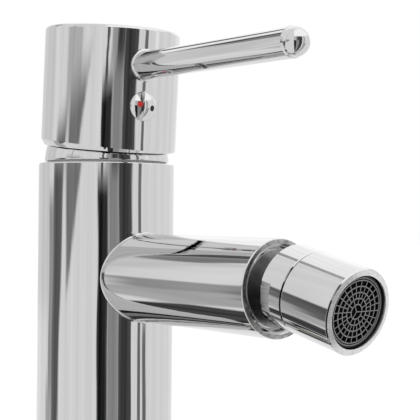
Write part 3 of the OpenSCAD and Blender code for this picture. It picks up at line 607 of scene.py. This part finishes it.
# Swivel collar: a chromed brass ring that holds the ball from behind.
# Two spanner flats are milled and brushed across its back, and its front screws into the shell.
brushed_chrome = surface(
    "brushed_chrome", light=(0.62, 0.62, 0.62), dark=(0.44, 0.44, 0.445), grain=600, metal=1,
    rough=(0.3, 0.42), relief=10, stretch=(1, 0.1, 6),
)
aerator_r, aerator_tilt = 12.39, 12.8
aerator_place = move(0, -ball_at, spout_z) @ turn_x(90 + aerator_tilt)
flat_at, flat_end, flat_twist = 11.55, -2.0, 12
flat_middles = (math.radians(flat_twist), math.radians(flat_twist + 180))
half_flat = math.acos(flat_at / aerator_r)
collar_back, collar_chamfer, collar_front, collar_edge = -6.3, 0.5, 2.54, 0.22
collar_thread_r, collar_thread_end, collar_bore = 11.15, 8.54, 10.0
seat_ball_r, seat_front, seat_steps, collar_sides = 10.8, 4.07, 24, 240
collar_angles = [2 * math.pi * side / collar_sides for side in range(collar_sides)]
for middle in flat_middles:
    collar_angles += [(middle + sign * half_flat) % (2 * math.pi) for sign in (-1, 1)]
collar_angles.sort()


def collar_ring(r, s, flats=False):
    """Ring of the collar, cut back to the spanner flats where it has them."""
    ring = []
    for angle in collar_angles:
        reach = r
        for middle in flat_middles:
            facing = math.cos(angle - middle)
            if flats and facing > 0:
                reach = min(reach, flat_at / facing)
        ring.append(Vector((reach * math.cos(angle), reach * math.sin(angle), s)))
    return ring


collar_rings = [
    collar_ring(aerator_r - collar_chamfer, collar_back, flats=True),
    collar_ring(aerator_r, collar_back + collar_chamfer, flats=True),
    collar_ring(aerator_r, flat_end, flats=True),
    collar_ring(aerator_r, flat_end),
    collar_ring(aerator_r, collar_front - collar_edge),
    collar_ring(aerator_r - collar_edge, collar_front),
    collar_ring(collar_thread_r, collar_front),
    collar_ring(collar_thread_r, collar_thread_end),
    collar_ring(collar_bore, collar_thread_end),
]
for step in range(seat_steps + 1):
    s = seat_front + (collar_back - seat_front) * step / seat_steps
    collar_rings.append(collar_ring(math.sqrt(seat_ball_r ** 2 - s * s), s))
collar = skin("collar_skin", collar_rings, aerator_place, loop=True, crease=20)
fit(collar, "aerator", "swivel_collar", "chrome", chrome, brushed_chrome)
flat_way = (aerator_place @ turn_z(flat_twist)).to_3x3() @ Vector((1, 0, 0))
for face in collar.data.polygons:
    face.material_index = 1 if abs(face.normal.dot(flat_way)) > 0.9999 else 0

# Aerator shell: a chromed brass barrel screwed on the collar, with softened edges.
# Its front is turned to a nearly flat satin lip round the insert.
satin_chrome = surface(
    "satin_chrome", light=(0.78, 0.78, 0.78), dark=(0.62, 0.62, 0.62), grain=1200, metal=1,
    rough=(0.16, 0.26), relief=1.5,
)
shell_start, shell_end, shell_edge = 2.84, 21.29, 0.3
shell_thread_r, shell_thread_start, lip_r, lip_back = 11.2, 8.0, 10.45, 12.55
end_bevel, end_bevel_l, end_edge, lip_drop, lip_edge = 0.35, 0.65, 0.08, 0.3, 0.2
shell_section = soften([
    (shell_thread_r, shell_thread_start, 0), (shell_thread_r, shell_start, 0),
    (aerator_r, shell_start, shell_edge), (aerator_r, shell_end - end_bevel_l, end_edge),
    (aerator_r - end_bevel, shell_end - lip_drop, end_edge), (lip_r, shell_end, lip_edge),
    (lip_r, lip_back, 0), (shell_thread_r, lip_back, 0),
])
shell = skin("shell_skin", turned(shell_section), aerator_place, loop=True, crease=25)
fit(shell, "aerator", "aerator_shell", "chrome", chrome, satin_chrome)
aerator_way = aerator_place.to_3x3() @ Vector((0, 0, 1))
aerator_start = aerator_place @ Vector((0, 0, 0)) * mm
lip_from = 19.0 * mm
for face in shell.data.polygons:
    along = (face.center - aerator_start).dot(aerator_way)
    on_lip = face.normal.dot(aerator_way) > 0.94 and along > lip_from
    face.material_index = 1 if on_lip else 0

# Aerator insert: a moulded grid of rings and spokes in a black basket, pushed into the shell.
# Its hub has a three-armed web, and a groove runs inside its rim. Its front face is grey, and the
# rest of it is painted black as shade on the walls of the cells. The basket's wall shows as a
# black ring round the grid.
black_plastic = surface(
    "moulded_black_and_wall_shade", light=(0.012, 0.012, 0.013), dark=(0.006, 0.006, 0.006), grain=900,
    rough=(0.4, 0.55), relief=20,
)
grid_plastic = surface(
    "grid_plastic", light=(0.25, 0.25, 0.252), dark=(0.18, 0.18, 0.182), grain=700,
    rough=(0.35, 0.5), relief=30,
)


def growth(name, sizes):
    """Geometry node tree with one named input for each size, and one for the finish."""
    tree = bpy.data.node_groups.new(name, "GeometryNodeTree")
    tree.interface.new_socket("Geometry", in_out="INPUT", socket_type="NodeSocketGeometry")
    for label, size in sizes.items():
        kind = "NodeSocketInt" if isinstance(size, int) else "NodeSocketFloat"
        tree.interface.new_socket(label, in_out="INPUT", socket_type=kind)
    tree.interface.new_socket("Finish", in_out="INPUT", socket_type="NodeSocketMaterial")
    tree.interface.new_socket("Geometry", in_out="OUTPUT", socket_type="NodeSocketGeometry")
    return tree, tree.nodes.new("NodeGroupInput").outputs


def add(tree, kind, feeds, **settings):
    """First outlet of a new node, whose sockets are fed by numbers or by other outlets."""
    node = tree.nodes.new(kind)
    for name, setting in settings.items():
        setattr(node, name, setting)
    for socket, feed in feeds.items():
        if isinstance(feed, bpy.types.NodeSocket):
            tree.links.new(feed, node.inputs[socket])
        else:
            node.inputs[socket].default_value = feed
    return node.outputs[0]


def maths(tree, operation, *values):
    """Outlet of a new node that works out one number."""
    return add(tree, "ShaderNodeMath", dict(enumerate(values)), operation=operation)


def close(tree, inlet, parts):
    """Ends a tree: joins its parts, realizes their instances and sets the finish."""
    join = tree.nodes.new("GeometryNodeJoinGeometry")
    for part in parts:
        tree.links.new(part, join.inputs[0])
    whole = add(tree, "GeometryNodeRealizeInstances", {0: join.outputs[0]})
    whole = add(tree, "GeometryNodeSetMaterial", {"Geometry": whole, "Material": inlet["Finish"]})
    tree.links.new(whole, tree.nodes.new("NodeGroupOutput").inputs[0])


def grown(name, tree, sizes, finish, place):
    """Plain mesh object from a tree in millimetres, set in its place in metres."""
    piece = shown(name, bpy.data.meshes.new(name))
    maker = piece.modifiers.new("growth", "NODES")
    maker.node_group = tree
    for item in tree.interface.items_tree:
        if item.in_out == "INPUT" and item.name != "Geometry":
            maker[item.identifier] = finish if item.name == "Finish" else sizes[item.name]
    mesh = evaluated_mesh(piece)
    piece.modifiers.clear()
    mesh.transform(Matrix.Scale(mm, 4) @ place)
    mesh.materials.clear()
    mesh.materials.append(finish)
    mesh.polygons.foreach_set("material_index", [0] * len(mesh.polygons))
    mesh.name = name
    piece.data = mesh
    return piece


grid_sizes = {
    "Hub radius": 2.1, "Ring pitch": 1.715, "Rings": 5, "Bar": 0.3, "Depth": 0.8,
    "Web arms": 3, "Hub spokes": 12, "Spokes": 24, "Spoke width": 0.22,
    "Rim radius": 9.6, "Rim width": 0.3, "Groove": 0.4, "Groove width": 0.4, "Roundness": 96,
}
grid_tree, grid_in = growth("aerator_grid", grid_sizes)
grid_node, grid_sum = partial(add, grid_tree), partial(maths, grid_tree)


def hoop_of(r):
    """Round line of one radius."""
    feeds = {"Resolution": grid_in["Roundness"], "Radius": r}
    return grid_node("GeometryNodeCurvePrimitiveCircle", feeds)


def swept(hoop, width, depth):
    """Flat bar of the grid, bent round a hoop."""
    hoop = grid_node("GeometryNodeSetCurveNormal", {"Curve": hoop}, mode="Z_UP")
    bar = grid_node("GeometryNodeCurvePrimitiveQuadrilateral", {"Width": width, "Height": depth})
    return grid_node("GeometryNodeCurveToMesh", {"Curve": hoop, "Profile Curve": bar})


def ring_at(turn):
    """Radius of one of the grid's rings, counted from the hub."""
    return grid_sum("MULTIPLY_ADD", turn, grid_in["Ring pitch"], grid_in["Hub radius"])


turn_index = grid_node("GeometryNodeInputIndex", {})
ring_r = ring_at(turn_index)
ring_seeds = grid_node("GeometryNodeMeshLine", {"Count": grid_in["Rings"], "Offset": (0, 0, 0)})
ring_scale = grid_node("ShaderNodeCombineXYZ", {"X": ring_r, "Y": ring_r, "Z": 1.0})
hoops = grid_node(
    "GeometryNodeInstanceOnPoints",
    {"Points": ring_seeds, "Instance": hoop_of(1.0), "Scale": ring_scale},
)
hoops = grid_node("GeometryNodeRealizeInstances", {0: hoops})
grid_parts = [
    swept(hoops, grid_in["Bar"], grid_in["Depth"]),
    swept(hoop_of(grid_in["Rim radius"]), grid_in["Rim width"], grid_in["Depth"]),
]
both_widths = grid_sum("ADD", grid_in["Rim width"], grid_in["Groove width"])
groove_r = grid_sum("SUBTRACT", grid_in["Rim radius"], grid_sum("MULTIPLY", both_widths, 0.5))
groove_floor = grid_sum("SUBTRACT", grid_in["Depth"], grid_in["Groove"])
groove = swept(hoop_of(groove_r), grid_in["Groove width"], groove_floor)
groove_drop = grid_node(
    "ShaderNodeCombineXYZ", {"Z": grid_sum("MULTIPLY", grid_in["Groove"], -0.5)}
)
grid_parts.append(
    grid_node("GeometryNodeTransform", {"Geometry": groove, "Translation": groove_drop})
)
for label, start_ring, end_ring in (
    ("Web arms", None, 0.0), ("Hub spokes", 0.0, 1.0), ("Spokes", 1.0, 4.0)
):
    start = 0.0 if start_ring is None else ring_at(start_ring)
    end = ring_at(end_ring)
    spoke_l = grid_sum("SUBTRACT", end, start)
    spoke_mid = grid_sum("MULTIPLY", grid_sum("ADD", end, start), 0.5)
    spoke_size = grid_node(
        "ShaderNodeCombineXYZ", {"X": spoke_l, "Y": grid_in["Spoke width"], "Z": grid_in["Depth"]}
    )
    spoke = grid_node("GeometryNodeMeshCube", {"Size": spoke_size})
    spoke_out = grid_node("ShaderNodeCombineXYZ", {"X": spoke_mid})
    spoke = grid_node("GeometryNodeTransform", {"Geometry": spoke, "Translation": spoke_out})
    spoke_step = grid_sum("DIVIDE", 2 * math.pi, grid_in[label])
    spoke_turn = grid_node(
        "ShaderNodeCombineXYZ", {"Z": grid_sum("MULTIPLY", turn_index, spoke_step)}
    )
    spoke_seeds = grid_node("GeometryNodeMeshLine", {"Count": grid_in[label], "Offset": (0, 0, 0)})
    grid_parts.append(grid_node(
        "GeometryNodeInstanceOnPoints",
        {"Points": spoke_seeds, "Instance": spoke, "Rotation": spoke_turn},
    ))
close(grid_tree, grid_in, grid_parts)
basket_end = 20.19
grid_place = aerator_place @ move(0, 0, basket_end - grid_sizes["Depth"] / 2)
grid = grown("grid_skin", grid_tree, grid_sizes, grid_plastic, grid_place)
fit(grid, "aerator", "aerator_grid", "black_plastic", black_plastic)
grid_front = (basket_end - 0.05) * mm
# All faces but the front take the black, as painted shade on the grid's walls.
for face in grid.data.polygons:
    along = (face.center - aerator_start).dot(aerator_way)
    on_front = along > grid_front and face.normal.dot(aerator_way) > 0.9
    face.material_index = 0 if on_front else 1
basket_r, basket_inner, basket_edge, basket_start = 10.25, 9.15, 0.15, 12.0
basket_back, basket_flange_r = 11.35, 11.1
grid_seat_r, grid_seat, grid_seat_edge = 9.78, 18.89, 0.1
basket_section = soften([
    (basket_inner, basket_start, 0), (basket_inner, basket_back, 0),
    (basket_flange_r, basket_back, basket_edge), (basket_flange_r, lip_back, basket_edge),
    (basket_r, lip_back, 0), (basket_r, basket_end, basket_edge),
    (grid_seat_r, basket_end, grid_seat_edge), (grid_seat_r, grid_seat, 0),
    (basket_inner, grid_seat, 0),
])
basket = skin("basket_skin", turned(basket_section, sides=128), aerator_place, loop=True)
fit(basket, "aerator", "aerator_basket", "black_plastic", black_plastic)

# Fixing stud: a zinc-plated steel rod with a rolled thread from end to end.
# It is screwed up into the column and hangs through the deck.
plated_steel = surface(
    "plated_steel", light=(0.52, 0.53, 0.54), dark=(0.38, 0.39, 0.4), grain=500, metal=1,
    rough=(0.25, 0.4), relief=4,
)
stud_low, stud_top = -49.0, 53.9
stud_sizes = {
    "Radius": 3.95, "Length": stud_top - stud_low, "Pitch": 1.25, "Groove": 0.55,
    "End bevel": 0.9, "Sides": 24, "Rows": 660,
}
stud_tree, stud_in = growth("stud_thread", stud_sizes)
stud_node, stud_sum = partial(add, stud_tree), partial(maths, stud_tree)
blank = stud_node("GeometryNodeMeshCylinder", {
    "Vertices": stud_in["Sides"], "Side Segments": stud_in["Rows"],
    "Radius": stud_in["Radius"], "Depth": stud_in["Length"],
})
position = stud_node("GeometryNodeInputPosition", {})
where = stud_node("ShaderNodeSeparateXYZ", {0: position}).node.outputs
round_turn = stud_sum("DIVIDE", stud_sum("ARCTAN2", where["Y"], where["X"]), 2 * math.pi)
thread_turn = stud_sum("SUBTRACT", stud_sum("DIVIDE", where["Z"], stud_in["Pitch"]), round_turn)
flank = stud_sum("MULTIPLY", stud_sum("PINGPONG", thread_turn, 0.5), 2.0)
half_length = stud_sum("MULTIPLY", stud_in["Length"], 0.5)
end_gap = stud_sum("SUBTRACT", half_length, stud_sum("ABSOLUTE", where["Z"]))
end_cut = stud_sum("MAXIMUM", stud_sum("SUBTRACT", stud_in["End bevel"], end_gap), 0.0)
sunk = stud_sum("MAXIMUM", stud_sum("MULTIPLY", flank, stud_in["Groove"]), end_cut)
left_over = stud_sum("SUBTRACT", 1.0, stud_sum("DIVIDE", sunk, stud_in["Radius"]))
cut_place = stud_node("ShaderNodeCombineXYZ", {
    "X": stud_sum("MULTIPLY", where["X"], left_over),
    "Y": stud_sum("MULTIPLY", where["Y"], left_over),
    "Z": where["Z"],
})
thread = stud_node("GeometryNodeSetPosition", {"Geometry": blank, "Position": cut_place})
close(stud_tree, stud_in, [thread])
stud_place = move(0, stud_y, (stud_low + stud_top) / 2)
stud = grown("stud_skin", stud_tree, stud_sizes, plated_steel, stud_place)
fit(stud, "column", "fixing_stud", "steel")

# Clamp: a rubber horseshoe and a stamped steel one, open to the front for the hoses.
# The stud passes through a hole in each, and the nut draws them up under the deck.
black_rubber = surface(
    "black_rubber", light=(0.03, 0.03, 0.031), dark=(0.016, 0.016, 0.017), grain=1200,
    rough=(0.55, 0.75), relief=50,
)
clamp_r, mouth_r, mouth_end, hole_r = 25.0, 15.0, 9.6, 4.1


def bend(r, y, start, end, steps):
    """Points round an arc about a place on the Y axis."""
    angles = [start + (end - start) * step / steps for step in range(steps + 1)]
    return [(r * math.cos(angle), y + r * math.sin(angle)) for angle in angles]


arm_angle = math.atan2(-math.sqrt(clamp_r ** 2 - mouth_r ** 2), mouth_r)
horseshoe = bend(clamp_r, 0, arm_angle, math.pi - arm_angle, 96)
horseshoe += bend(mouth_r, mouth_end - mouth_r, math.pi, 0, 48)
stud_hole = bend(hole_r, stud_y, 0, 2 * math.pi, 48)[:-1]
for name, node, slot, finish, low, thick, edge in (
    ("clamp_gasket_skin", "clamp_gasket", "rubber", black_rubber, -21.0, 3.0, 0.5),
    ("clamp_plate_skin", "clamp_plate", "steel", plated_steel, -23.0, 2.0, 0.3),
):
    outline = bpy.data.curves.new(name, "CURVE")
    outline.dimensions = "2D"
    outline.fill_mode = "BOTH"
    outline.extrude = thick / 2 - edge
    outline.bevel_depth = edge
    outline.offset = -edge
    outline.bevel_resolution = 2
    for loop in (horseshoe, stud_hole):
        spline = outline.splines.new("POLY")
        spline.points.add(len(loop) - 1)
        for point, (x, y) in zip(spline.points, loop):
            point.co = (x, y, 0, 1)
        spline.use_cyclic_u = True
    stamp = shown(name, outline)
    mesh = evaluated_mesh(stamp)
    bpy.data.objects.remove(stamp)
    mesh.transform(Matrix.Scale(mm, 4) @ move(0, 0, low + thick / 2))
    weld(mesh)
    shade(mesh, 35)
    fit(shown(name, mesh), "column", node, slot, finish)

# Clamp nut: a long nut cut from drawn hexagon brass, chamfered at both ends.
# It is screwed on the stud's tail and done up with a box spanner from below.
pale_brass = surface(
    "pale_brass", light=(0.56, 0.52, 0.43), dark=(0.5, 0.46, 0.37), grain=900, metal=1,
    rough=(0.2, 0.3), relief=2, stretch=(1, 1, 0.06),
)
nut_flat, nut_low, nut_h, nut_sides = 6.5, -37.0, 14.0, 144
nut_face_r, nut_cone, nut_bore, nut_sink = nut_flat - 0.1, 1.7, 4.0, 0.7
nut_rows = [0, 0.1, 0.25, 0.4, 0.6, 0.9]
nut_rows += [nut_h - row for row in reversed(nut_rows)]
nut_rings = []
for row in nut_rows:
    cone = nut_face_r + min(row, nut_h - row) * nut_cone
    ring = []
    for side in range(nut_sides):
        angle = 2 * math.pi * side / nut_sides
        off_flat = (angle + math.pi / 6) % (math.pi / 3) - math.pi / 6
        reach = min(nut_flat / math.cos(off_flat), cone)
        ring.append(Vector((reach * math.cos(angle), reach * math.sin(angle), row)))
    nut_rings.append(ring)
nut_rings += turned([
    (nut_bore + nut_sink, nut_h), (nut_bore, nut_h - nut_sink), (nut_bore, nut_sink),
    (nut_bore + nut_sink, 0),
], nut_sides)
nut_place = move(0, stud_y, nut_low) @ turn_z(30)
nut = skin("nut_skin", nut_rings, nut_place, loop=True, crease=20)
fit(nut, "column", "clamp_nut", "brass", pale_brass)

# Foot gasket: a soft black rubber ring, pressed into the groove of the foot.
# It lies flush with the foot and seals it to the deck.
gasket_gap, gasket_h, gasket_low_edge, gasket_top_edge = 0.1, 1.9, 0.4, 0.3
gasket_in, gasket_out = groove_in + gasket_gap, groove_out - gasket_gap
gasket_start, gasket_close = 0.9, 1.0
gasket_section = soften([
    (gasket_in, gasket_start, 0), (gasket_in, 0, gasket_low_edge),
    (gasket_out, 0, gasket_low_edge), (gasket_out, gasket_h, gasket_top_edge),
    (gasket_in, gasket_h, gasket_top_edge), (gasket_in, gasket_close, 0),
])
gasket = skin("foot_gasket_skin", turned(gasket_section), loop=True)
fit(gasket, "column", "base_gasket", "rubber", black_rubber)

# Cartridge, seals and ball seats: moulded, ground and turned pieces that the column, the cap and
# the aerator hide. They keep their solids and take the finish of what they are made of, except the
# cover seal, which is pale as a painted highlight, and the aerator screens, which are nearly black
# as painted shade.
machined_brass = surface(
    "machined_brass", light=(0.62, 0.47, 0.22), dark=(0.5, 0.37, 0.16), grain=700, metal=1,
    rough=(0.2, 0.32), relief=3,
)
# The seal under the dome is painted pale grey, as a painted highlight along the joint of the dome
# and the column.
pale_silicone_painted_highlight = surface(
    "pale_silicone_painted_highlight", light=(0.5, 0.5, 0.5), dark=(0.42, 0.42, 0.42), grain=500,
    rough=(0.4, 0.55), relief=30,
)
white_acetal = surface(
    "white_acetal", light=(0.8, 0.79, 0.76), dark=(0.72, 0.71, 0.68), grain=300,
    rough=(0.35, 0.5), relief=30,
)
slate_nylon = surface(
    "slate_nylon", light=(0.2, 0.22, 0.25), dark=(0.15, 0.17, 0.19), grain=400,
    rough=(0.4, 0.55), relief=30,
)
ground_ceramic = surface(
    "ground_ceramic", light=(0.86, 0.85, 0.83), dark=(0.8, 0.79, 0.77), grain=150,
    rough=(0.08, 0.16), relief=4,
)
green_silicone = surface(
    "green_silicone", light=(0.05, 0.3, 0.14), dark=(0.03, 0.22, 0.1), grain=500,
    rough=(0.45, 0.6), relief=30,
)
dark_steel = surface(
    "dark_steel", light=(0.08, 0.08, 0.082), dark=(0.05, 0.05, 0.052), grain=900, metal=1,
    rough=(0.4, 0.55), relief=30,
)
# The screens' steel is painted nearly black, as painted shade in the holes of the grid.
steel_gauze_painted_shade = surface(
    "steel_gauze_painted_shade", light=(0.05, 0.05, 0.052), dark=(0.008, 0.008, 0.008), grain=2600, metal=1,
    rough=(0.35, 0.5), relief=100,
)
inner_finishes = {
    machined_brass: ("control_stem", "cartridge_nut"),
    plated_steel: ("pivot_pin",),
    black_rubber: ("port_seals", "disc_seals", "nipple_washer", "ball_seal", "aerator_washer"),
    pale_silicone_painted_highlight: ("cover_seal",),
    white_acetal: ("cartridge_housing", "disc_carrier", "rear_ball_seat", "front_ball_seat"),
    slate_nylon: ("cartridge_base", "turn_sleeve"),
    ground_ceramic: ("fixed_disc", "moving_disc"),
    green_silicone: ("flow_regulator",),
    dark_steel: ("grub_screw",),
    steel_gauze_painted_shade: ("aerator_screens",),
}
for finish, names in inner_finishes.items():
    for name in names:
        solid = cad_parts[name].data
        solid.materials.clear()
        solid.materials.append(finish)
